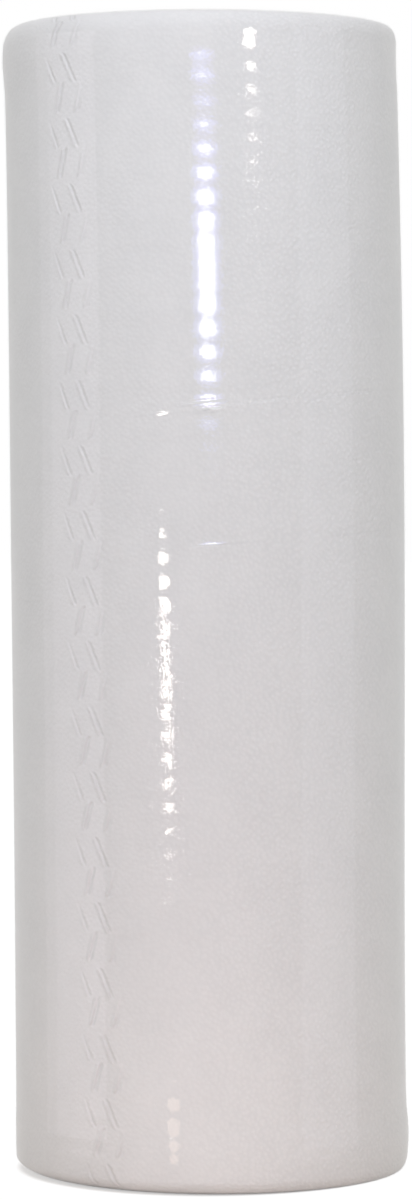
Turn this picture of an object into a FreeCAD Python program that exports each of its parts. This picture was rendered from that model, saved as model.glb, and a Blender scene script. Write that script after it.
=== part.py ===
"""Couch roll: a soft embossed two-ply paper roll on a board core, shrink-wrapped in clear film.

The roll stands on its end. The origin is at the middle of its foot, +Z runs up the
core's axis, and -Y is the front. All sizes are in millimetres.
"""
import os
from math import pi

import FreeCAD
import Part
from FreeCAD import Vector

# Paper: the wound web
web_width = 500.0         # width of the sheet, so the height of the winding
roll_diameter = 172.0     # over the outermost turn, where its loose end lies
sheet_caliper = 0.28      # one embossed two-ply sheet, the step at its loose end
shoulder_radius = 8.0     # how the film has rounded the soft edges of the turns
tail_angle = 238.0        # where the loose end lies, counted from +X towards +Y

# Core: a tube of spirally wound board
core_bore = 40.0          # for the spindle of a couch or a wall holder
core_wall = 2.0
core_edge_radius = 0.3    # the saw-cut ends, rubbed round
glue_line = 0.05          # between the core and the first turn

# Film: a shrunk sleeve with an open eye at each end
film_thickness = 0.10
film_lift = 0.25          # the film bridges the embossing, and stands off the sheet
eye_diameter = 90.0       # hole that the shrunk sleeve leaves at each end
seam_width = 8.0          # lap where the film's two edges are welded together
seam_angle = 90.0         # the lap runs down the back

# Worked out from the sizes above
winding_foot = film_thickness + film_lift
winding_top = winding_foot + web_width
winding_radius = roll_diameter / 2
core_radius = core_bore / 2 + core_wall
UP = Vector(0, 0, 1)
AXIS = Vector(0, 0, 0)


def line(start, end):
    """Straight edge between two (radius, height) points of a section."""
    return Part.makeLine(Vector(start[0], 0, start[1]), Vector(end[0], 0, end[1]))


def corner(centre, radius, start_deg, end_deg):
    """Arc of a section about a (radius, height) point, from the level direction upwards."""
    middle_deg = (start_deg + end_deg) / 2
    points = []
    for degrees in (start_deg, middle_deg, end_deg):
        spoke = FreeCAD.Rotation(Vector(0, -1, 0), degrees).multVec(Vector(radius, 0, 0))
        points.append(Vector(centre[0], 0, centre[1]) + spoke)
    return Part.Arc(*points).toShape()


def wrapped_line(inner_radius, side_radius, lift):
    """Open outline round the winding's section, from inner_radius at the foot to the top.

    side_radius is the winding's own radius. The outline runs lift outside it, and the
    shoulders stay concentric with those of the paper.
    """
    inset = side_radius - shoulder_radius
    low = winding_foot + shoulder_radius
    high = winding_top - shoulder_radius
    reach = shoulder_radius + lift
    return [
        line((inner_radius, low - reach), (inset, low - reach)),
        corner((inset, low), reach, -90, 0),
        line((side_radius + lift, low), (side_radius + lift, high)),
        corner((inset, high), reach, 0, 90),
        line((inset, high + reach), (inner_radius, high + reach)),
    ]


def section(edges):
    """Flat face inside a closed chain of edges."""
    return Part.Face(Part.Wire(Part.__sortEdges__(edges)))


def core_tube():
    """Board tube as long as the web is wide, with its cut ends rubbed round."""
    tube = Part.makeCylinder(core_radius, web_width, Vector(0, 0, winding_foot))
    hole = Part.makeCylinder(core_bore / 2, web_width, Vector(0, 0, winding_foot))
    tube = tube.cut(hole)
    rims = [edge for edge in tube.Edges if edge.BoundBox.ZLength < core_edge_radius]
    return tube.makeFillet(core_edge_radius, rims)


def paper_roll():
    """The winding, with its outermost turn drawn as a four-centre spiral.

    Each quarter of the turn is revolved about a centre of its own. From one quarter to
    the next the radius drops by a quarter of the sheet's caliper, and the centre moves
    by as much towards the joint, so the quarters run on smoothly. After the fourth
    quarter the radius is one caliper less, which leaves the step of the loose end.
    """
    drop = sheet_caliper / 4
    centre = Vector(drop / 2, -drop / 2, 0)
    radius = winding_radius
    quarters = []
    for quarter in range(4):
        outline = wrapped_line(0, radius, 0)
        spine = line((0, winding_foot), (0, winding_top))
        wedge = section(outline + [spine]).revolve(AXIS, UP, 90)
        wedge.rotate(AXIS, UP, 90 * quarter)
        wedge.translate(centre)
        quarters.append(wedge)
        joint = FreeCAD.Rotation(UP, 90 * (quarter + 1)).multVec(Vector(drop, 0, 0))
        centre = centre + joint
        radius = radius - drop
    winding = quarters[0].fuse(quarters[1:])
    winding = winding.cut(Part.makeCylinder(core_radius + glue_line, winding_top))
    winding.rotate(AXIS, UP, tail_angle)
    return winding.removeSplitter()


def film_band(lift, thickness, from_deg, sweep_deg):
    """Part of the wrap: a skin over side, shoulders and ends, open at both eyes."""
    eye_radius = eye_diameter / 2
    inside = wrapped_line(eye_radius, winding_radius, lift)
    outside = wrapped_line(eye_radius, winding_radius, lift + thickness)
    rims = [
        line(inside[0].Vertexes[0].Point[::2], outside[0].Vertexes[0].Point[::2]),
        line(inside[-1].Vertexes[-1].Point[::2], outside[-1].Vertexes[-1].Point[::2]),
    ]
    band = section(inside + outside + rims).revolve(AXIS, UP, sweep_deg)
    band.rotate(AXIS, UP, from_deg)
    return band


def shrink_wrap():
    """One sleeve of film, twice as thick where its edges lap down the back.

    The lap stops where the shoulders start, so that the roll stands flat on its foot.
    """
    sleeve = film_band(film_lift, film_thickness, 0, 360)
    seam_deg = seam_width / (winding_radius + film_lift) * 180 / pi
    lap = film_band(film_lift, 2 * film_thickness, seam_angle - seam_deg / 2, seam_deg)
    level = winding_top - winding_foot - 2 * shoulder_radius
    lap_zone = Part.makeCylinder(roll_diameter, level, Vector(0, 0, winding_foot + shoulder_radius))
    return sleeve.fuse(lap.common(lap_zone)).removeSplitter()


pieces = {
    "core_tube": core_tube(),
    "paper_roll": paper_roll(),
    "shrink_wrap": shrink_wrap(),
}
os.makedirs("parts", exist_ok=True)
for name, shape in pieces.items():
    shape.exportStep("parts/" + name + ".step")
    box = shape.optimalBoundingBox(False)
    print(name, "valid", shape.isValid(), "solids", len(shape.Solids), "faces", len(shape.Faces),
          "volume", round(shape.Volume), "mm3, size",
          [round(length, 2) for length in (box.XLength, box.YLength, box.ZLength)])
winding_area = pi * (winding_radius ** 2 - core_radius ** 2)
print("length of paper", round(winding_area / sheet_caliper / 1000, 1), "m")
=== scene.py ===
# %% [markdown]
# # A couch roll in shrink film
# A couch roll is soft two-ply paper wound on a board core and sealed in a sleeve of shrink film. The
# solid model comes first, as a fixed frame: it says how large each piece is and where it stands. Every
# surface below takes its sizes from that frame.

# %% Load the frame
from math import cos, pi, radians, sin, sqrt

import bpy
import numpy as np
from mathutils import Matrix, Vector


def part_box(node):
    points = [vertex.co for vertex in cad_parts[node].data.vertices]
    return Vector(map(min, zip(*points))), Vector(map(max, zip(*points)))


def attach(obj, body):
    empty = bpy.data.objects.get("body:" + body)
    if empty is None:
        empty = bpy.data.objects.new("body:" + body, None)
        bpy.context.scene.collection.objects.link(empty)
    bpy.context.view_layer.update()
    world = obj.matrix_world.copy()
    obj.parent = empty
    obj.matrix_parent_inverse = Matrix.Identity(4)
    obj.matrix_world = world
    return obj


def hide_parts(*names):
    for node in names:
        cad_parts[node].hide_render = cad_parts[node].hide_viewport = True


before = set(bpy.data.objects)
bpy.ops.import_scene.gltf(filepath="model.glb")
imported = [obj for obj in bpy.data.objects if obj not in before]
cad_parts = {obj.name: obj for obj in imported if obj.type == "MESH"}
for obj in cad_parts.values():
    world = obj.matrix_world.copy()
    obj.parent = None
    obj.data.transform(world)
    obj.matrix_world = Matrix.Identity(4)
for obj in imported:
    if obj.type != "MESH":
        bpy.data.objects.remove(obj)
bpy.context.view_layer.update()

# %% [markdown]
# ## Sizes
# Blender counts in metres, and a couch roll is easier to think about in millimetres, so lengths are
# written as a number times `mm`. Three boxes from the frame give the radii: the core's, the winding's
# and the film's. The film's thickness, the bore and the eye are on no box, so they repeat the solid
# model's values. An azimuth is an angle round the roll from its front, which is -Y, towards the right.

# %% Read the sizes off the frame
mm = 0.001


def radius_of(node):
    """Half the width of a node's box across the front."""
    low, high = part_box(node)
    return (high.x - low.x) / 2


core_radius = radius_of("core_tube")
paper_radius = radius_of("paper_roll")
film_radius = radius_of("shrink_wrap")
film_thickness = 0.1 * mm
film_lift = film_radius - paper_radius - film_thickness
roll_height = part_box("shrink_wrap")[1].z
paper_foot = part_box("paper_roll")[0].z
paper_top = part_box("paper_roll")[1].z
bore_radius = 20 * mm
eye_radius = 45 * mm
tail_azimuth = radians(238 - 270)     # the solid model counts the loose end's angle from +X
glue_line = 0.05 * mm                 # between the core and the first turn
print(f"winding {2 * paper_radius / mm:.1f} mm across, film {film_lift / mm:.2f} mm outside it")

# %% [markdown]
# ## The camera
# The camera comes early, so that each piece can be looked at from where it will be seen. It stands two
# metres away with a long lens, a little above the middle of the roll, and is tipped down by less than
# two degrees. A long lens keeps the sides nearly parallel.

# %% Set up the camera
camera_place = Vector((0, -1952.8 * mm, 309.5 * mm))
camera_tip = radians(1.75)

camera = bpy.data.objects.new("camera", bpy.data.cameras.new("camera"))
camera.data.sensor_width = 36
camera.data.lens = 133.2      # both in millimetres
camera.location = camera_place
camera.rotation_euler = (pi / 2 - camera_tip, 0, 0)
bpy.context.scene.collection.objects.link(camera)
bpy.context.scene.camera = camera
print(f"camera {camera_place.length:.2f} m from the foot of the roll")

# %% [markdown]
# ## How a soft roll stands
# A roll of tissue isn't a true cylinder. It leans and bows a little, its sides swell and draw in by
# a few tenths of a millimetre, and the tight film rounds its edges more on one side than the other.
# One function, `settle`, carries any point of a true roll to where it lies on this soft one. Paper and
# film both pass through it, so they keep their gap wherever the roll bends.

# %% Define how the roll settles
def ease(value):
    """Smooth step: three times the square less twice the cube, held between 0 and 1."""
    value = np.clip(value, 0, 1)
    return value * value * (3 - 2 * value)


def bell(value):
    """Bell curve: e to minus the square."""
    return np.exp(-value * value)


def side_blend(left, right, azimuth):
    """A size that changes round the roll, from its left side to its right, as the sine of azimuth."""
    return (left + right) / 2 - (left - right) / 2 * np.sin(azimuth)


def sway(height):
    """Sideways shift of the roll's middle: a quartic in the height, which runs from -1 to 1."""
    s = 2 * height / roll_height - 1
    return (0.92 - 1.66 * s - 1.34 * s**2 - 1.06 * s**3 + 0.29 * s**4) * mm


def swell(azimuth, height):
    """Growth in radius: one slow wave up the side, and a bulge 16 mm in from each end."""
    s = 2 * height / roll_height - 1
    top_bulge = side_blend(0.78, -0.31, azimuth) * bell((roll_height - height - 16 * mm) / (9.5 * mm))
    foot_bulge = side_blend(0.19, 0.93, azimuth) * bell((height - 16 * mm) / (9.5 * mm))
    return (0.4 + 0.33 * np.cos(pi * (s - 0.2) / 0.85) + top_bulge + foot_bulge) * mm


def settle(azimuth, radius, height):
    """x, y and z of a point of the roll. The core stays true, and the skin moves most."""
    share = ease((radius - core_radius) / (paper_radius - core_radius))
    radius = radius + share * swell(azimuth, height)
    x = radius * np.sin(azimuth) + share * sway(height)
    y = -radius * np.cos(azimuth)
    return np.stack(np.broadcast_arrays(x, y, height), -1)


print(f"the middle leans {(sway(0.0) - sway(roll_height)) / mm:.1f} mm from foot to top")

# %% [markdown]
# ## The shoulders
# Film shrinks inwards over the ends and pulls the paper's edge round. A quarter of an ellipse draws
# that well: it reaches in along the end and drops down the side by different amounts. Each end is
# worked out as rows of points, from the hole in the middle outwards and then round the shoulder, with
# the direction that points out of the surface. The film lies along that direction from the paper.

# %% Work out the ends
top_reach, top_drop = (6.55, 3.77), (9.40, 6.54)
foot_reach, foot_drop = (11.14, 3.01), (5.44, 6.54)


def end_skin(azimuth, inner_radius, at_top, shares, turns):
    """Radius, height and outward direction of an end of the winding, row by row from its hole.

    shares runs from 0 at inner_radius to 1 where the shoulder starts. turns are angles round the
    shoulder: radius grows by reach times their sine, and depth by drop times one less their cosine.
    """
    reach = side_blend(*(top_reach if at_top else foot_reach), azimuth) * mm
    drop = side_blend(*(top_drop if at_top else foot_drop), azimuth) * mm
    edge = paper_radius - reach
    shares, turns = shares[:, None], turns[:, None]
    radius = np.vstack([inner_radius + (edge - inner_radius) * shares, edge + reach * np.sin(turns)])
    depth = np.vstack([shares * 0 * drop, drop * (1 - np.cos(turns))])
    out = np.vstack([shares * 0 * drop, np.sin(turns) * drop])
    up = np.vstack([shares * 0 + reach, np.cos(turns) * reach])
    length = np.hypot(out, up)
    if at_top:
        return radius, paper_top - depth, out / length, up / length
    return radius, paper_foot + depth, out / length, -up / length


quarter_turns = np.linspace(0, pi / 2, 9)[1:]
print("rows round a shoulder:", len(quarter_turns))

# %% [markdown]
# ## From rows of points to a mesh
# A tube-like surface is a grid of points: rows up the profile and columns round the axis. Two
# neighbouring rows and two neighbouring columns hold one four-sided face, and the last column joins
# the first. Each point also keeps its place on the unrolled skin, which is what the UV map holds here,
# in metres: how far round and how far up. A pattern on it keeps its true size.

# %% Join rows into faces
def ring_faces(rows):
    """Faces between neighbouring rows of point numbers, each row closed on itself."""
    rows = np.asarray(rows)
    onward = np.roll(rows, -1, axis=1)
    return np.stack([rows[:-1], onward[:-1], onward[1:], rows[1:]], -1).reshape(-1, 4)


def numbered(shape, start):
    """Point numbers of a grid of that shape, counted from start."""
    return start + np.arange(shape[0] * shape[1]).reshape(shape)


def closed_uv(around, along, faces):
    """UV of each corner. A face that crosses the seam at the back takes its low side a turn on."""
    u, v = around[faces], along[faces]
    crosses = (u.max(1) - u.min(1)) > pi * paper_radius
    u = u + 2 * pi * paper_radius * (crosses[:, None] & (u < 0))
    return np.stack([u, v], -1).reshape(-1, 2)


def make_piece(name, points, around, along, groups, finishes):
    """Mesh object from points, their unrolled places, and (faces, finish number) groups."""
    mesh = bpy.data.meshes.new(name)
    mesh.from_pydata(points.tolist(), [], [face for faces, _ in groups for face in faces.tolist()])
    numbers = np.concatenate([np.full(len(faces), finish) for faces, finish in groups])
    mesh.polygons.foreach_set("material_index", numbers.astype(np.int32))
    mesh.polygons.foreach_set("use_smooth", np.ones(len(numbers), bool))
    corners = np.concatenate([closed_uv(around, along, faces) for faces, _ in groups])
    mesh.uv_layers.new(name="unrolled").data.foreach_set("uv", corners.ravel())
    for finish in finishes:
        mesh.materials.append(finish)
    piece = bpy.data.objects.new(name, mesh)
    bpy.context.scene.collection.objects.link(piece)
    mesh.update()
    triangles = sum(len(p.vertices) - 2 for p in mesh.polygons)
    print(f"{name}: {len(points)} points, {triangles} triangles")
    return piece


# %% [markdown]
# ## Materials written as sums
# A material is a tree of nodes. Its arithmetic reads best as arithmetic, so a `Wire` holds one
# output socket, and adding or multiplying wires adds the Math nodes. A `Bench` is the tree itself, with
# one method, `add`, that places any other node.

# %% Define the bench and its wires
class Wire:
    """One output socket. Arithmetic on it adds Math nodes to its tree."""

    def __init__(self, bench, socket):
        self.bench = bench
        self.socket = socket

    def __add__(self, other):
        return self.bench.maths("ADD", self, other)

    def __sub__(self, other):
        return self.bench.maths("SUBTRACT", self, other)

    def __rsub__(self, other):
        return self.bench.maths("SUBTRACT", other, self)

    def __mul__(self, other):
        return self.bench.maths("MULTIPLY", self, other)

    def __truediv__(self, other):
        return self.bench.maths("DIVIDE", self, other)

    def __pow__(self, other):
        return self.bench.maths("POWER", self, other)

    def __abs__(self):
        return self.bench.maths("ABSOLUTE", self)

    __radd__ = __add__
    __rmul__ = __mul__

    def other(self, output):
        """Another output of the same node."""
        return Wire(self.bench, self.socket.node.outputs[output])


class Bench:
    """A node tree, emptied, and the way to add a node to it."""

    def __init__(self, tree):
        self.tree = tree
        tree.nodes.clear()

    def add(self, kind, sockets=(), output=0, **settings):
        """Adds a node, sets its settings, then its sockets to values or wires. Gives one output."""
        node = self.tree.nodes.new("ShaderNode" + kind)
        for name, value in settings.items():
            setattr(node, name, value)
        for name, value in dict(sockets).items():
            if isinstance(value, Wire):
                self.tree.links.new(value.socket, node.inputs[name])
            else:
                node.inputs[name].default_value = value
        return Wire(self, node.outputs[output]) if len(node.outputs) else node

    def maths(self, operation, *values):
        """One Math node on wires or numbers."""
        return self.add("Math", enumerate(values), operation=operation)

    def step(self, value, start, end):
        """0 below start, 1 above end, and an eased slope between. start may be above end."""
        sockets = {"Value": value, "From Min": start, "From Max": end}
        return self.add("MapRange", sockets, interpolation_type="SMOOTHSTEP")

    def blend(self, share, low, high):
        """Mixes two colours, wires or plain, by a share."""
        ends = {0: share, 6: low, 7: high}
        ends = {n: (*v, 1) if isinstance(v, tuple) else v for n, v in ends.items()}
        return self.add("Mix", ends, 2, data_type="RGBA")


def new_finish(name):
    """A new material and the bench for its nodes."""
    finish = bpy.data.materials.new(name)
    finish.use_nodes = True
    return finish, Bench(finish.node_tree)


print("node tools ready")

# %% [markdown]
# ## Unrolled places and noise
# Patterns on the roll are laid out on its unrolled skin, in millimetres: `across` from the middle of
# the front towards the right, and `up` from the foot.

# %% Read the unrolled place of a point
def unrolled(bench):
    """Wires for how far round and how far up a point lies, in millimetres."""
    place = bench.add("UVMap", uv_map="unrolled")
    across = bench.add("SeparateXYZ", {0: place}, 0)
    up = bench.add("SeparateXYZ", {0: place}, 1)
    return across / mm, up / mm


def noise(bench, across, up, detail=2.0, depth=0.0):
    """Smooth noise, mostly from 0.3 to 0.7, whose hills are about one unit wide."""
    place = bench.add("CombineXYZ", {0: across, 1: up, 2: depth})
    return bench.add("TexNoise", {"Vector": place, "Scale": 1.0, "Detail": detail})


print("pattern coordinates ready")

# %% [markdown]
# ## The emboss
# Couch paper is pressed between steel rolls. They leave staggered dots 3 mm apart that hold the two
# plies together, and near the left of this roll a band of short slanted strokes. Voronoi cells make
# believable dots, because their centres wander a little. The strokes are worked out from the distance
# to a slanted line inside a repeating cell.

# %% Draw the emboss
dot_pitch = 3.0
stroke_rise = 27.76         # from one row of strokes to the next
stroke_spacing = 11.6       # between neighbours in a row
stroke_length = 12.8
fall_lean, rise_lean = 0.43, 0.32
column_drift = 0.037        # how far the columns lean to the right, going down
first_stroke = (-60.4, 477.8)


def dots(bench, across, up):
    """Round dots, 1 at their tops and 0 between them, on a wandering lattice set on its corner."""
    diagonal = dot_pitch * sqrt(2)
    place = bench.add("CombineXYZ", {0: (across + up) / diagonal, 1: (across - up) / diagonal})
    cells = {"Vector": place, "Scale": sqrt(2), "Randomness": 0.85}
    reach = bench.add("TexVoronoi", cells, voronoi_dimensions="2D")
    return bench.step(reach, 0.62, 0.05)


def strokes(bench, across, up, lean, right, down):
    """Rows of slanted strokes, 1 along their middle, 0 off them, and a raised lip on their left.

    Their centres repeat every spacing across and every rise up. A stroke is where the distance
    across, plus the lean times the distance up, is near nothing, within half its length.
    """
    up = up - (first_stroke[1] - down)
    across = across - (first_stroke[0] + right) + up * column_drift
    off_up = bench.maths("PINGPONG", up, stroke_rise / 2)
    row = bench.maths("WRAP", up, stroke_rise / 2, -stroke_rise / 2)
    column = bench.maths("WRAP", across, stroke_spacing / 2, -stroke_spacing / 2)
    off_line = column + row * lean
    ends = bench.step(off_up, stroke_length / 2 + 0.4, stroke_length / 2 - 1.6)
    lip = bench.step(abs(off_line + 1.7), 1.4, 0.0)
    return (bench.step(abs(off_line), 1.4, 0.0) - lip * 0.8) * ends


def stroke_band(bench, across, up):
    """Columns that fall to the right and, between them, columns that rise, in a fading band."""
    falling = strokes(bench, across, up, fall_lean, 0, 0)
    rising = strokes(bench, across, up, -rise_lean, stroke_spacing / 2, 0.45 * stroke_rise)
    right = across - first_stroke[0] + (up - first_stroke[1]) * column_drift
    return (falling + rising * 1.1) * bench.step(right, -16, -10) * bench.step(right, 8, 2)


print("emboss drawn, dots", dot_pitch, "mm apart")

# %% [markdown]
# ## The paper's finish
# Soft tissue is bright, matt and slightly mottled, because its fibres lie thicker in some places. The
# dots and strokes go into a Bump node as a height in millimetres. The colour also darkens between the
# dots, as painted shade where less light gets in. Right of the middle the sheet lies looser, its dots
# are crisper and the painted shade between them is deeper.
# The film's level ripples press a faint wave into it, so their spacing is set here, for both.

# %% Finish the paper's face
ripple_pitch = 10.05
ripple_origin = 451.5       # a height where a ripple crosses zero, in millimetres like the pitch
paper_colour = (0.80, 0.79, 0.78)
# the darker tone, for thinner fibres and for the painted shade between the dots
thin_and_shade_colour = (0.72, 0.715, 0.71)
dot_height, stroke_depth = 0.08, 0.38     # in millimetres, as pressed into the sheet


def paper_finish():
    """Embossed tissue."""
    finish, bench = new_finish("embossed tissue")
    across, up = unrolled(bench)
    pebbles = dots(bench, across, up)
    marks = stroke_band(bench, across, up)
    fibres = noise(bench, across * 2.2, up * 1.6, 3.0)
    clouds = noise(bench, across / 22, up / 30, 2.0)
    waves = bench.maths("SINE", (up - ripple_origin) * (2 * pi / ripple_pitch))
    crisp = bench.step(across, -20, 30) * bench.step(across, 200, 100)
    flocks = noise(bench, across / 4, up / 3, 1.0, 3.0)
    height = pebbles * (dot_height + crisp * 0.06) - marks * stroke_depth + fibres * 0.05 + waves * 0.02
    # mottling of the fibres, plus painted shade between the dots, deeper right of the middle
    thin_and_shade = clouds * 0.9 - 0.5 - crisp * 0.15 + (1 - pebbles) * (0.25 + crisp * 0.2) + flocks * 0.45
    colour = bench.blend(thin_and_shade, paper_colour, thin_and_shade_colour)
    bump = bench.add("Bump", {"Height": height, "Distance": mm, "Strength": 1.0})
    surface = {"Base Color": colour, "Normal": bump, "Roughness": 0.92, "Specular IOR Level": 0.0}
    bench.add("OutputMaterial", {"Surface": bench.add("BsdfPrincipled", surface)})
    return finish


tissue = paper_finish()
print("paper colour, linear:", paper_colour)

# %% [markdown]
# ## The ends of the winding
# On the end of the roll each turn of paper shows as a fine ring. The turns are 0.28 mm apart, too fine
# to draw one by one, but some stand a little proud of their neighbours, and that is what the eye sees.
# Noise read along the radius gives rings of uneven depth. Reading it with a little of the angle keeps
# them from being perfect circles.

# %% Finish the turns' edges
deep_turn_colour = (0.60, 0.595, 0.585)


def turns_finish():
    """Cut edges of the turns, as uneven rings."""
    finish, bench = new_finish("edges of the turns")
    place = bench.add("TexCoord", output=3)
    flat = bench.add("VectorMath", {0: place, 1: (1, 1, 0)}, operation="MULTIPLY")
    radius = bench.add("VectorMath", {0: flat}, 1, operation="LENGTH") / mm
    wander = bench.add("TexNoise", {"Vector": flat, "Scale": 25.0, "Detail": 2.0})
    fine = noise(bench, radius * 2.6 + wander * 3, 0.0, 2.0)
    broad = noise(bench, radius * 0.35 + wander, 7.0, 1.0)
    fuzz = bench.add("TexNoise", {"Vector": flat, "Scale": 1400.0, "Detail": 2.0})
    deep = fine * 0.8 + broad * 0.5 + fuzz * 0.2 - 0.4
    colour = bench.blend(deep, paper_colour, deep_turn_colour)
    height = fine * 0.35 + fuzz * 0.08
    bump = bench.add("Bump", {"Height": height, "Distance": mm, "Strength": 1.0})
    surface = {"Base Color": colour, "Normal": bump, "Roughness": 0.95, "Specular IOR Level": 0.0}
    bench.add("OutputMaterial", {"Surface": bench.add("BsdfPrincipled", surface)})
    return finish


turn_edges = turns_finish()
print("rings follow the distance from the axis")

# %% [markdown]
# ## The winding
# The winding is one closed ring: end, shoulder, side, shoulder, end, and the wall of its bore. Its
# outermost turn is a spiral, so the radius falls slowly round the roll and steps back up by one sheet
# at the loose end. Two extra columns, less than half a millimetre apart, draw that step. The ends
# aren't quite flat: turns that slipped while winding stand back by a few tenths of a millimetre, and
# the foot is hollow, because a roll sits on its rim.

# %% Shape the winding
def foot_hollow(radius):
    """How far the foot rises towards the core: an eased 1.6 mm from 74 mm out to 50 mm."""
    return 1.6 * mm * ease((74 * mm - radius) / (24 * mm))


def slipped_turns(azimuth, radius):
    """Depth of the turns that stand back: three ring waves that drift round the roll, never proud."""
    rings = np.sin(radius / mm * 0.9) + 0.6 * np.sin(radius / mm * 2.3 + np.sin(azimuth) + 1)
    rings = rings + 0.5 * np.sin(radius / mm * 0.31 + 2)
    fade = ease((70 * mm - radius) / (6 * mm))
    return 0.12 * mm * (2.1 + rings) * fade


def tail_drop(turned):
    """How far the outermost turn has come in, a share of a turn after the loose end.

    It grows evenly to the pressed thickness of a sheet, and over the last hair of the turn it eases
    back to nothing, up the loose end of the next sheet.
    """
    return pressed_sheet * turned * ease((1 - turned) / tail_width)


pressed_sheet = 0.13 * mm
tail_width = 1.3 * mm / (2 * pi * paper_radius)
turned_shares = np.append(np.linspace(0, 1 - tail_width, 180), 1 - tail_width * np.array([0.67, 0.33]))
paper_azimuths = (tail_azimuth + 2 * pi * turned_shares)[None, :]
print("columns:", paper_azimuths.size)

# %% Build the winding
def winding_rows(azimuth):
    """Radius and height of every row, and its place along the profile, from the lower bore on."""
    shares = np.linspace(0, 1, 30)
    hole = core_radius + glue_line
    foot = end_skin(azimuth, hole, False, shares, quarter_turns)
    top = end_skin(azimuth, hole, True, shares, quarter_turns)
    levels = np.linspace(paper_foot + 8 * mm, paper_top - 11 * mm, 120)[:, None] + 0 * azimuth
    bore = np.linspace(paper_top - 30 * mm, paper_foot + 30 * mm, 8)[:, None] + 0 * azimuth
    radius = np.vstack([foot[0], paper_radius + 0 * levels, top[0][::-1], hole + 0 * bore])
    height = np.vstack([foot[1], levels, top[1][::-1], bore])
    radius = radius - tail_drop(turned_shares) * ease((radius - 60 * mm) / (20 * mm))
    inward = np.zeros_like(radius)
    count = len(shares)
    inward[:count] = slipped_turns(azimuth, foot[0][:count]) + foot_hollow(foot[0][:count])
    top_face = slice(len(foot[0]) + len(levels) + len(quarter_turns), -len(bore))
    inward[top_face] = -slipped_turns(azimuth, top[0][:count][::-1])
    return radius, height + inward, (count, top_face)


paper_radii, paper_heights, (face_rows, top_face) = winding_rows(paper_azimuths)
paper_points = settle(paper_azimuths, paper_radii, paper_heights)
paper_grid = numbered(paper_radii.shape, 0)
wall = ring_faces(paper_grid)
bore_wall = ring_faces(np.vstack([paper_grid[-1:], paper_grid[:1]]))
row_of_face = wall[:, 0] // paper_radii.shape[1]
is_face = (row_of_face < face_rows) | (row_of_face >= top_face.start)
print("rows:", len(paper_radii), "of", paper_radii.shape[1], "points")

# %% Make the winding
turned = np.mod(paper_azimuths + pi, 2 * pi) - pi
paper_around = (turned * paper_radius + 0 * paper_radii).ravel()
past_edge = paper_radius - paper_radii
paper_along = paper_heights + np.where(paper_heights < roll_height / 2, -past_edge, past_edge)
winding = make_piece(
    "paper_winding",
    paper_points.reshape(-1, 3),
    paper_around,
    paper_along.ravel(),
    [(wall[~is_face], 0), (wall[is_face], 1), (bore_wall, 1)],
    [tissue, turn_edges],
)
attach(winding, "root")
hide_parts("paper_roll")

# %% [markdown]
# ## The board core
# A core is wound from strips of grey-brown board, laid in a slant and glued. Its bore shows the slanted
# joint of the inner strip as a fine dark line, and its cut ends show the plies as rings. Both come from
# the distance round and up the tube, which the UV map holds.

# %% Finish the board
board_colour = (0.46, 0.33, 0.21)


def board_finish():
    """Spirally wound board: a slanted joint, plies on the ends, flecks and slight blotches."""
    finish, bench = new_finish("wound board")
    place = bench.add("TexCoord", output=3)
    flat = bench.add("VectorMath", {0: place, 1: (1, 1, 0)}, operation="MULTIPLY")
    radius = bench.add("VectorMath", {0: flat}, 1, operation="LENGTH") / mm
    across, up = unrolled(bench)
    strip = 75.0
    turn = 2 * pi * paper_radius / mm
    slant = bench.maths("WRAP", up + across * (strip / turn), strip / 2, -strip / 2)
    joint = bench.step(abs(slant), 0.5, 0.1)
    plies = bench.maths("SINE", radius * (2 * pi / 0.42))
    flecks = bench.add("TexNoise", {"Vector": place, "Scale": 900.0, "Detail": 3.0})
    blotches = bench.add("TexNoise", {"Vector": place, "Scale": 45.0, "Detail": 3.0})
    dark = blotches * 0.8 + bench.step(flecks, 0.5, 0.75) * 0.5 - 0.35 + joint * 0.8
    colour = bench.blend(dark, board_colour, (0.27, 0.19, 0.12))
    height = flecks * 0.06 - joint * 0.25 + plies * 0.03
    bump = bench.add("Bump", {"Height": height, "Distance": mm, "Strength": 1.0})
    surface = {"Base Color": colour, "Normal": bump, "Roughness": 0.85, "Specular IOR Level": 0.25}
    bench.add("OutputMaterial", {"Surface": bench.add("BsdfPrincipled", surface)})
    return finish


board = board_finish()
print("board colour, linear:", board_colour)

# %% Build the core
def core_section():
    """Closed outline of the tube's wall: up the outside, over, down the bore and under."""
    corner = 0.3 * mm
    arc = np.linspace(0, pi / 2, 4)
    outer, inner = core_radius - corner, bore_radius + corner
    high, low = paper_top - corner, paper_foot + corner
    levels = np.linspace(low, high, 40)[1:-1]
    radius = [outer + corner * np.cos(arc), inner - corner * np.sin(arc)]
    height = [high + corner * np.sin(arc), high + corner * np.cos(arc)]
    radius += [bore_radius + 0 * levels, inner - corner * np.cos(arc), outer + corner * np.sin(arc)]
    height += [levels[::-1], low - corner * np.sin(arc), low - corner * np.cos(arc)]
    return np.concatenate(radius)[:, None], np.concatenate(height)[:, None]


core_radii, core_heights = core_section()
core_azimuths = np.linspace(-pi, pi, 97)[None, :-1]
core_points = settle(core_azimuths, core_radii, core_heights + 0 * core_azimuths)
core_grid = numbered(core_points.shape[:2], 0)
core_faces = ring_faces(np.vstack([core_grid, core_grid[:1]]))
core = make_piece(
    "board_core",
    core_points.reshape(-1, 3),
    (core_azimuths * paper_radius + 0 * core_radii).ravel(),
    (core_heights + 0 * core_azimuths).ravel(),
    [(core_faces, 0)],
    [board],
)
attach(core, "root")
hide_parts("core_tube")
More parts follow.
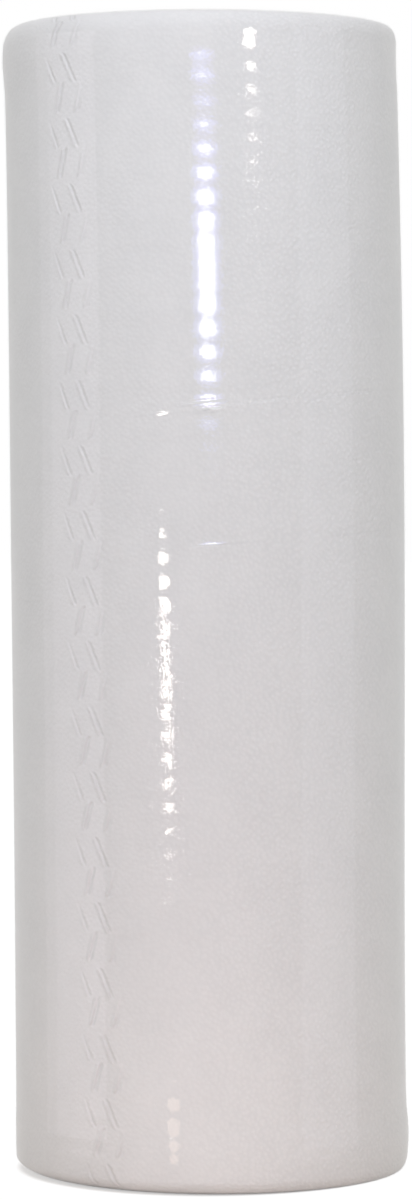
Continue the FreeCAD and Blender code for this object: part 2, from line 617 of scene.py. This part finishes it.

# %% [markdown]
# ## The film's finish
# Shrink film is clear: most light goes straight through and a few hundredths are mirrored. So the
# finish mixes a Transparent shader with a Glossy one, whose share grows towards a glancing view. Where
# the film is folded it scatters light as well, and Diffuse shaders join in by two shares that the
# mesh carries. The pale one is whitened film; on the crests of the pleats at the ends it is also a
# painted highlight. The other is a dark grey: painted shade beside the creases. Small dimples in two
# places break a lamp's reflection into sparks. For light on its way to the paper, a Light Path node
# keeps it simpler: the film takes eight hundredths of it and does nothing more, which also makes the
# render quicker.

# %% Finish the film
film_roughness = 0.05
head_on_share = 0.04          # of the light, mirrored when the film faces the viewer
glancing_share = 0.48         # how much more at a glancing view


def bell_wire(bench, value):
    """Bell curve of a wire: e to minus the square."""
    return bench.maths("EXPONENT", value * value * -1)


def film_relief(bench, across, up):
    """Height in millimetres: fine unevenness everywhere, and sparse round dimples in two places."""
    fine = noise(bench, across / 1.5, up / 2, 2.0)
    place = bench.add("CombineXYZ", {0: across / 1.7, 1: up / 1.7})
    cell = bench.add("TexVoronoi", {"Vector": place, "Scale": 1.0}, voronoi_dimensions="2D")
    chance = bench.add("SeparateColor", {0: cell.other("Color")})
    dimple = bench.step(cell, 0.42, 0.0) * bench.step(chance, 0.5, 0.62)
    low_left = bell_wire(bench, (across + 18) / 14)
    low_left = low_left * bench.step(up, 265, 215) * bench.step(up, 110, 150)
    top_right = bell_wire(bench, (across - 22) / 12) * bench.step(up, 480, 465)
    rough = low_left + top_right * 0.7
    return fine * (0.025 + rough * 0.035) + dimple * (0.003 + rough * 0.055)


def film_finish():
    """The outer wall of the film."""
    finish, bench = new_finish("shrink film")
    across, up = unrolled(bench)
    bump = bench.add("Bump", {"Height": film_relief(bench, across, up), "Distance": mm, "Strength": 1.0})
    facing = bench.add("LayerWeight", {"Blend": 0.5}, 1)
    mirrored = head_on_share + facing ** 5 * glancing_share
    pale, fold_shade = (bench.add("Attribute", output=2, attribute_name=name) for name in ("pale", "fold_shade"))
    clear = bench.add("BsdfTransparent", {"Color": (0.99, 0.99, 0.99, 1)})
    pale_fold = bench.add("BsdfDiffuse", {"Color": (0.97, 0.97, 0.97, 1)})
    # painted shade beside the creases, as a dark grey Diffuse
    painted_shade_diffuse = bench.add("BsdfDiffuse", {"Color": (0.25, 0.25, 0.25, 1)})
    folded = bench.add("MixShader", {0: bench.step(fold_shade, 0.0, 0.02), 1: pale_fold, 2: painted_shade_diffuse})
    body = bench.add("MixShader", {0: pale + fold_shade, 1: clear, 2: folded})
    gloss = {"Color": (1, 1, 1, 1), "Roughness": film_roughness, "Normal": bump}
    shine = bench.add("BsdfAnisotropic", gloss)
    seen = bench.add("MixShader", {0: mirrored, 1: body, 2: shine})
    ray = bench.add("LightPath", output="Is Shadow Ray")
    lights_paper = bench.maths("MAXIMUM", ray, ray.other("Is Diffuse Ray"))
    passed_on = bench.add("BsdfTransparent", {"Color": (0.92, 0.92, 0.92, 1)})
    surface = bench.add("MixShader", {0: lights_paper, 1: seen, 2: passed_on})
    bench.add("OutputMaterial", {"Surface": surface})
    return finish


def inner_film_finish():
    """The inner wall, against the paper: clear, because one wall is enough to carry the gloss."""
    finish, bench = new_finish("shrink film inside")
    bench.add("OutputMaterial", {"Surface": bench.add("BsdfTransparent", {"Color": (1, 1, 1, 1)})})
    return finish


film = film_finish()
film_inside = inner_film_finish()
print(f"film mirrors {head_on_share:.0%} head on")

# %% [markdown]
# ## Ripples and creases in the film
# Film that has shrunk on a soft roll is never smooth. Level ripples run round it every 10 mm, only
# hundredths of a millimetre deep, and they break a lamp's reflection into beads. Two creases cross the
# front, where the film was pinched, and climb a little to the right. The rows of the mesh climb with
# them, so that a crease lies along a row and stays sharp.

# %% Shape the film's side
def climb(azimuth, level):
    """How far a row has climbed: most at the main crease, and more towards the right."""
    tilt = 8 * np.sin(azimuth) + 2.3 * np.sin(azimuth) ** 2
    return tilt * mm * bell((level / mm - main_crease) / 85)


def ripples(azimuth, height):
    """Level waves up the side, a sine of the height whose phase drifts a little round the roll.

    They are 0.042 mm to each side, and less in a narrow band up the front, most of all near its top.
    They double towards the foot and calm down between the two creases.
    """
    front = bell(azimuth / 0.12)
    near_top = ease((height - 425 * mm) / (30 * mm))
    depth = 0.026 * (1.6 - 0.6 * front) * (1 - 0.5 * front * near_top)
    depth = depth * (1 + bell((height - 25 * mm) / (25 * mm)))
    depth = depth * (1 - 0.8 * bell((height - 305 * mm) / (28 * mm)))
    drift = 0.5 * np.sin(azimuth + 1) + 0.35 * np.sin(3 * azimuth + height / (90 * mm))
    phase = 2 * pi * (height / mm - ripple_origin) / ripple_pitch + drift - 0.42
    return depth * mm * np.sin(phase)


main_crease, low_crease = 333.4, 275.6    # heights in millimetres
lap_edge = 4 * mm / film_radius           # half the lap, as an azimuth from the back
edge_line, weld_half = 0.0035, 0.009      # the line at each edge and half the weld, as azimuths too


def ridge(level, at, height, width):
    """A sharp fold: height times e to minus the distance over the width, all in millimetres."""
    return height * np.exp(-np.abs(level / mm - at) / width)


def between(azimuth, start, end, fade):
    """1 from start to end in degrees of azimuth, fading over so many degrees past them."""
    degrees = np.degrees(azimuth)
    return ease((degrees - start) / fade + 1) * ease((end - degrees) / fade + 1)


# Each fold's level, height and width, and the degrees where it starts and ends and over which it fades
folds = [
    (main_crease, 0.16, 0.9, (-16, 4, 6)),
    (main_crease, 0.07, 0.9, (16, 55, 10)),
    (main_crease + 2.9, 0.10, 0.7, (-8, 6, 5)),
    (low_crease, 0.05, 0.8, (-4, 12, 12)),
    (low_crease, 0.06, 0.8, (2.2, 8, 1.6)),
    (low_crease, 0.06, 0.8, (35, 60, 14)),
]


def creases(azimuth, level):
    """The main crease with its upper branch, and the lower one: the sum of the folds."""
    return sum(ridge(level, *fold) * between(azimuth, *span) for *fold, span in folds) * mm


def fold_line(azimuth, level, at, half_width, start, end, fade):
    """1 on a level line, eased to 0 at its half width, between two places across, in millimetres."""
    across = azimuth * paper_radius / mm
    along = ease((across - start) / fade + 1) * ease((end - across) / fade + 1)
    return ease(1 - np.abs(level / mm - at) / half_width) * along


def lap_paleness(azimuth):
    """How pale the lap is: a little all over, more along its weld and at its two edges."""
    from_back = pi - np.abs(azimuth)
    weld = ease(1 - from_back / weld_half)
    edge = ease(1 - np.abs(from_back - lap_edge) / edge_line)
    return 0.07 * (from_back < lap_edge + edge_line / 2) + 0.22 * weld + 0.30 * edge


# Each line's share and crease, how far above it the line lies and half its width, and where it
# starts and ends across the front and over how much it fades, in millimetres
pale_lines = [
    (0.80, main_crease, (-0.7, 0.9, 1, 5, 2)),
    (0.25, main_crease, (2.5, 0.8, -8, 6, 5)),
    (0.12, main_crease, (0.2, 0.8, 8, 38, 6)),
    (0.12, main_crease, (-0.8, 0.9, 52, 80, 6)),
    (0.25, low_crease, (0.0, 0.8, -2, 4, 3)),
]
# Lines of painted shade beside the creases, laid out like the pale lines
shade_beside_creases = [
    (0.07, main_crease, (-2.0, 0.7, -2, 6, 3)),
    (0.045, main_crease, (1.4, 0.7, -8, 38, 6)),
    (0.05, main_crease, (0.5, 0.7, 52, 80, 6)),
    (0.035, main_crease, (-1.2, 0.7, -30, -4, 5)),
    (0.04, low_crease, (0.0, 0.8, 7, 17, 5)),
    (0.035, low_crease, (0.0, 0.8, 60, 86, 8)),
]


def line_shares(lines, azimuth, level):
    """Sum of the lines at each point, each weighed by its share."""
    return sum(share * fold_line(azimuth, level - crease * mm, *line) for share, crease, line in lines)


def fold_shares(azimuth, level):
    """How pale the folded film is and where painted shade lies beside it: lines on and beside the two
    creases, and the lap.
    """
    pale = line_shares(pale_lines, azimuth, level) + lap_paleness(azimuth)
    return pale, line_shares(shade_beside_creases, azimuth, level)


print("ripples every", ripple_pitch, "mm; creases at", main_crease, "and", low_crease)

# %% [markdown]
# ## Rows where they are needed
# The side gets a row about every millimetre and a half, which draws each ripple with seven rows, and
# closer rows beside the creases. To space them, a density is summed up the side, and rows are set at
# equal steps of the sum. The pleats of the ends are narrow, so the ends get three columns for each one
# of the side.

# %% Space the film's rows and columns
def side_levels(count):
    """Levels of the side's rows, closer near the creases."""
    fine = np.linspace(8 * mm, roll_height - 11 * mm, 20001)
    density = 1 + 3.2 * bell((fine / mm - main_crease - 1) / 3)
    density = density + 2.2 * bell((fine / mm - low_crease) / 2)
    total = np.cumsum(density)
    return np.interp(np.linspace(total[0], total[-1], count), total, fine)


lap_columns = pi - lap_edge + edge_line * np.array([-1, 0, 1])
lap_columns = np.append(lap_columns, pi - weld_half)
side_columns = np.concatenate([np.linspace(-pi, pi, 100)[:-1], lap_columns, -lap_columns])
side_columns = np.unique(side_columns)
parts = np.arange(3) / 3
next_column = np.append(side_columns[1:], side_columns[0] + 2 * pi)
end_columns = (side_columns[:, None] + (next_column - side_columns)[:, None] * parts).ravel()
levels = side_levels(335)
print(len(side_columns), "columns up the side and", len(end_columns), "over the ends")

# %% [markdown]
# ## The gathered ends
# Where the sleeve runs past the roll's end it shrinks in over it, until only a round eye is left. It
# has to lose half its length round the eye, so it gathers into small radial pleats, and its cut edge
# draws up into a thick, wavy bead. The pleats are a sum of cosines of the angle with different
# counts: where they agree there is a tall pleat, and where they don't the film lies flat.

# %% Shape the film's ends
def eye_edge(azimuth, at_top):
    """Radius of the wavy eye: a few slow waves on 45 mm."""
    shift = 0.0 if at_top else 2.0
    waves = 1.5 * np.cos(2 * azimuth + 1 + shift) + 0.9 * np.cos(3 * azimuth + 4 * shift)
    waves = waves + 0.5 * np.cos(7 * azimuth + shift) + 0.35 * np.cos(17 * azimuth + 2)
    return eye_radius + waves * mm


def pleats(azimuth, radius, at_top):
    """Radial pleats: cosines of many turns of the angle, tallest at the eye, never inwards."""
    shift = 0.0 if at_top else 1.7
    inward = (paper_radius - radius) / (paper_radius - eye_radius)
    twist = azimuth + 0.05 * np.sin(3 * azimuth + shift) + 0.04 * inward * np.sin(5 * azimuth)
    wave = 0.5 * np.cos(34 * twist + shift) + 0.35 * np.cos(53 * twist + 2)
    wave = wave + 0.3 * np.cos(21 * twist + shift) + 0.2 * np.cos(87 * twist)
    return np.clip(wave, 0, None) ** 1.3 * ease((inward - 0.18) / 0.8)


def gather_paleness_and_highlight(azimuth, radius, at_top):
    """How pale the gathered film is: on the pleats' crests, as whitened film and painted highlight, and
    most along the eye's bead.
    """
    bead = ease(1 - np.abs(radius - eye_edge(azimuth, at_top) - 0.5 * mm) / (1.5 * mm))
    return np.clip(0.30 * pleats(azimuth, radius, at_top) + 0.35 * bead, 0, 0.6)


def film_end(azimuth, at_top):
    """Rows of the film over one end, as (inner wall, outer wall), from the eye outwards."""
    shares = np.concatenate([np.linspace(0, 0.045, 5)[:-1], np.linspace(0.045, 1, 12) ** 1.1])
    edge = eye_edge(azimuth, at_top)
    radius, height, out, up = end_skin(azimuth, edge, at_top, shares, quarter_turns[1::2])
    tall = 0.9 * mm if at_top else 0.7 * mm
    relief = film_lift + tall * pleats(azimuth, radius, at_top)
    if not at_top:
        height = height + foot_hollow(radius)
    into = np.clip(1 - (radius - edge) / (1.1 * mm), 0, 1)
    bead = 0.55 * mm * np.sqrt(np.clip(1 - (2 * into - 1) ** 2, 0, 1)) * (radius - edge < 1.2 * mm)
    inner = (radius + relief * out, np.maximum(height + relief * up, film_thickness))
    thick = relief + film_thickness + bead
    outer = (radius + thick * out, np.maximum(height + thick * up, 0))
    return inner, outer


print(f"eye {2 * eye_radius / mm:.0f} mm across")

# %% [markdown]
# ## The sleeve
# The film is a closed shell: an outer wall, an inner wall one thickness in, and the cut edges that join
# them at the eyes. The sleeve was made from flat film, so it has a lap down the back, where two
# thicknesses are welded.

# %% Build the film's walls
def film_side(azimuth):
    """Rows of the film up the side, as (inner wall, outer wall)."""
    height = levels[:, None] + climb(azimuth, levels[:, None])
    relief = film_lift + ripples(azimuth, height) + creases(azimuth, levels[:, None])
    from_back = pi - np.abs(azimuth)
    lap = ease((lap_edge + edge_line - from_back) / edge_line) * film_thickness
    inner = paper_radius + relief
    return (inner, height), (inner + film_thickness + lap, height)


def join_zones(wall_number):
    """Points of one wall of the film, zone by zone: lower end, side, upper end."""
    foot = film_end(end_columns[None, :], False)[wall_number]
    side = film_side(side_columns[None, :])[wall_number]
    top = film_end(end_columns[None, :], True)[wall_number]
    top = (top[0][::-1], top[1][::-1])
    return [(end_columns, *foot), (side_columns, *side), (end_columns, *top)]


def wall_faces(grids):
    """Faces of one wall. Where three narrow columns meet one wide one, the face has six corners."""
    foot, side, top = grids
    quads = np.vstack([ring_faces(grid) for grid in grids])
    joins = []
    for narrow, wide in ((foot[-1], side[0]), (top[0], side[-1])):
        triples = narrow.reshape(-1, 3)
        ends = np.column_stack([triples, np.roll(narrow, -3).reshape(-1, 3)[:, 0]])
        base = np.column_stack([np.roll(wide, -1), wide])
        joins.append(np.hstack([ends, base]))
    joins[1] = joins[1][:, ::-1]
    return quads, np.vstack(joins)


print("film walls defined")

# %% Make the film
def film_piece():
    """Both walls and the rims that join them, as one closed mesh."""
    points, around, along, grids = [], [], [], []
    start = 0
    for wall_number in (1, 0):
        for columns, radius, height in join_zones(wall_number):
            columns = columns[None, :] + 0 * radius
            points.append(settle(columns, radius, height).reshape(-1, 3))
            around.append((columns * paper_radius).ravel())
            past_end = paper_radius - radius
            low_half = height < roll_height / 2
            along.append((height + np.where(low_half, -past_end, past_end)).ravel())
            grids.append(numbered(radius.shape, start))
            start += radius.size
    shares = np.zeros((2, start))
    side_shares = fold_shares(side_columns[None, :], levels[:, None])
    shares[:, grids[1].ravel()] = [share.ravel() for share in side_shares]
    for grid, at_top in ((grids[0], False), (grids[2], True)):
        radius = np.hypot(*np.concatenate(points)[grid.ravel(), :2].T)
        shares[0, grid.ravel()] = gather_paleness_and_highlight(np.tile(end_columns, len(grid)), radius, at_top)
    outer, outer_joins = wall_faces(grids[:3])
    inner, inner_joins = wall_faces(grids[3:])
    foot_rim = ring_faces(np.vstack([grids[3][:1], grids[0][:1]]))
    top_rim = ring_faces(np.vstack([grids[2][-1:], grids[5][-1:]]))
    groups = [(outer, 0), (outer_joins, 0), (foot_rim, 0), (top_rim, 0)]
    groups += [(inner[:, ::-1], 1), (inner_joins[:, ::-1], 1)]
    spread = np.concatenate(points), np.concatenate(around), np.concatenate(along)
    piece = make_piece("film_sleeve", *spread, groups, [film, film_inside])
    # pale: whitened film, with a painted highlight on the end pleats; the second share: painted shade
    # beside the creases
    for name, values in zip(("pale", "fold_shade"), shares):
        piece.data.attributes.new(name, "FLOAT", "POINT").data.foreach_set("value", values)
    return piece


sleeve = film_piece()
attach(sleeve, "root")
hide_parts("shrink_wrap")

# %% [markdown]
# ## The floor
# The roll stands on a plain pale floor. For the camera it is mostly plain white, so that it runs into
# the background, and close to the roll it shows its own shading, which keeps the contact shadow. The
# floor lies a twentieth of a millimetre low, so that it never shares a plane with the film's foot.

# %% Lay the floor
def floor_finish():
    """Pale floor: white to the camera and to mirrors away from the roll, shaded close to it."""
    finish, bench = new_finish("pale floor")
    place = bench.add("TexCoord", output=3)
    distance = bench.add("VectorMath", {0: place}, 1, operation="LENGTH") / mm
    ray = bench.add("LightPath", output="Is Camera Ray")
    seen = bench.maths("MINIMUM", ray + ray.other("Is Glossy Ray") + ray.other("Is Transmission Ray"), 1)
    away = bench.step(distance, 80.5, 85) * 0.42 + bench.step(distance, 90, 200) * 0.03
    white_share = seen * (0.55 + away)
    # Within 450 mm the floor's own colour is warmer and a little darker: a painted pool of warm light,
    # which the roll's foot takes up as bounce.
    close = bench.add("BsdfDiffuse", {"Color": (0.88, 0.81, 0.75, 1)})
    far = bench.add("BsdfDiffuse", {"Color": (0.87, 0.88, 0.89, 1)})
    own = bench.add("MixShader", {0: bench.step(distance, 90, 450), 1: close, 2: far})
    white = bench.add("Emission", {"Color": (1, 1, 1, 1), "Strength": 1.05})
    bench.add("OutputMaterial", {"Surface": bench.add("MixShader", {0: white_share, 1: own, 2: white})})
    return finish


floor_level = -0.05 * mm
floor_radii = np.concatenate([[0.02], np.geomspace(0.05, 12, 24)])[:, None]
floor_azimuths = np.linspace(-pi, pi, 65)[None, :-1]
floor_x, floor_y = floor_radii * np.sin(floor_azimuths), floor_radii * np.cos(floor_azimuths)
floor_points = np.stack(np.broadcast_arrays(floor_x, floor_y, floor_level), -1).reshape(-1, 3)
floor_grid = numbered((len(floor_radii), floor_azimuths.size), 0)
floor_mesh = bpy.data.meshes.new("floor")
floor_faces = ring_faces(floor_grid).tolist() + [floor_grid[0][::-1].tolist()]
floor_mesh.from_pydata(floor_points.tolist(), [], floor_faces)
floor_mesh.materials.append(floor_finish())
floor = bpy.data.objects.new("floor", floor_mesh)
bpy.context.scene.collection.objects.link(floor)
print("floor", 2 * floor_radii[-1, 0], "m across")

# %% [markdown]
# ## Light all round
# The world gives the same soft light from every side. To the camera and in mirrors it is plain white.

# %% Light the world
world_colour = (0.594, 0.592, 0.578)


def world_light():
    """Soft light from every side, and white wherever it is seen."""
    world = bpy.data.worlds.new("studio")
    bpy.context.scene.world = world
    world.use_nodes = True
    bench = Bench(world.node_tree)
    soft = bench.add("Background", {"Color": (*world_colour, 1), "Strength": 1.0})
    white = bench.add("Background", {"Color": (1, 1, 1, 1), "Strength": 1.0})
    ray = bench.add("LightPath", output="Is Camera Ray")
    seen = bench.maths("MINIMUM", ray + ray.other("Is Glossy Ray") + ray.other("Is Transmission Ray"), 1)
    bench.add("OutputWorld", {"Surface": bench.add("MixShader", {0: seen, 1: soft, 2: white})})


world_light()
bpy.context.scene.world.cycles.sampling_method = "NONE"
print("world lit")

# %% [markdown]
# ## Soft panels
# A soft, slightly cool panel stands in front, high up, so the paper is a little brighter and cooler at
# the top. A low, narrow one lights the foot, a faint warm one tints the lower half, and a plain one
# stands behind. None shows in the film.

# %% Place the panels
def area_lamp(name, place, aim, width, tall, strength, colour, shape="RECTANGLE"):
    """Area lamp that faces a point. strength is how bright it looks, with 1 as white."""
    light = bpy.data.lights.new(name, "AREA")
    light.shape = shape
    light.size, light.size_y = width, tall
    light.color = colour
    light.energy = strength * pi * width * tall
    lamp = bpy.data.objects.new(name, light)
    lamp.location = place
    lamp.rotation_euler = (Vector(aim) - Vector(place)).to_track_quat("-Z", "Y").to_euler()
    lamp.visible_camera = False
    bpy.context.scene.collection.objects.link(lamp)
    return lamp


panels = [
    area_lamp("high_panel", (0, -0.7, 1.0), (0, 0, 0.35), 1.1, 0.4, 3.75, (0.867, 0.891, 1.0)),
    area_lamp("foot_panel", (-0.01, -0.2, 0.012), (0, -0.06, 0), 0.22, 0.02, 1.7, (0.97, 0.97, 1.0)),
    area_lamp("foot_glow", (0, -0.42, 0.04), (0, 0, 0.02), 0.35, 0.07, 0.8, (1.0, 0.1, 0.05)),
    area_lamp("back_panel", (0, 1.2, 0.8), (0, 0, 0.25), 0.8, 0.5, 2.0, (1.0, 0.97, 0.95)),
]
for panel in panels:
    panel.visible_glossy = False
print(len(panels), "panels")

# %% [markdown]
# ## Lamps and their reflections
# The bright streaks on the film are reflections of small lamps. A mirror rule places them: light
# leaves a point of the film at the angle at which the camera sees it. So each lamp is set by where its
# reflection should sit, as an azimuth and a height on the roll. Turned round, the rule says where the
# lamp stands. The ripples cut each lamp's reflection into beads. Three tall strips close to the roll
# lay a faint band of light along its left and its right side, as bright walls beside it would.

# %% Place the lamps
def mirror_lamp(name, azimuth, height, distance, *looks, spin=0):
    """Area lamp whose reflection, for the camera, lies at an azimuth and a height on the film.

    azimuth and spin are in degrees, height in millimetres and distance in metres. looks are the
    lamp's width, how tall it is, its strength, its colour and its shape.
    """
    facing = Vector((sin(radians(azimuth)), -cos(radians(azimuth)), 0))
    spot = facing * film_radius + Vector((sway(height * mm), 0, height * mm))
    to_camera = (camera_place - spot).normalized()
    away = facing * (2 * facing.dot(to_camera)) - to_camera
    lamp = area_lamp(name, spot + away * distance, spot, *looks)
    lamp.rotation_euler.rotate_axis("Z", radians(spin))
    lamp.visible_diffuse = False
    print(name, "stands at", [round(v, 2) for v in lamp.location])
    return lamp


warm = (1.0, 0.92, 0.85)
wall_tint = (0.97, 0.9, 1.0)
mirror_lamp("cool_lamp", 0.6, 399, 1.5, 0.262, 0.155, 11, (0.86, 0.89, 1.0), "ELLIPSE")
mirror_lamp("cool_glow", 0.6, 396, 1.55, 0.48, 0.24, 2.6, (0.35, 0.42, 1.0), "ELLIPSE")
mirror_lamp("cool_haze", 0.8, 440, 1.6, 0.42, 0.17, 1.0, (0.4, 0.3, 1.0), "ELLIPSE")
mirror_lamp("warm_lamp_right", 14.2, 545, 1.5, 0.18, 0.18, 16, (1.0, 0.93, 0.86), "ELLIPSE")
mirror_lamp("warm_lamp_left", -12.2, 228, 1.5, 0.18, 0.1, 16, warm, "ELLIPSE", spin=-30)
mirror_lamp("warm_lamp_low", -11.4, 190, 1.5, 0.13, 0.065, 16, warm, "ELLIPSE", spin=-30)
mirror_lamp("strip_left", -42, 250, 0.15, 0.155, 0.6, 0.5, wall_tint)
mirror_lamp("strip_inner", -40, 250, 0.15, 0.12, 0.6, 0.5, wall_tint)
mirror_lamp("strip_right", 36, 250, 0.15, 0.125, 0.6, 0.55, (0.87, 0.88, 1.0))
mirror_lamp("foot_gleam", -10.6, 30, 0.12, 0.02, 0.026, 2.0, (1.0, 0.8, 0.66), "ELLIPSE")

# %% [markdown]
# ## Finish
# The view is left plain, so that colours render as they are written.

# %% Set the view and finish
bpy.context.scene.view_settings.view_transform = "Standard"
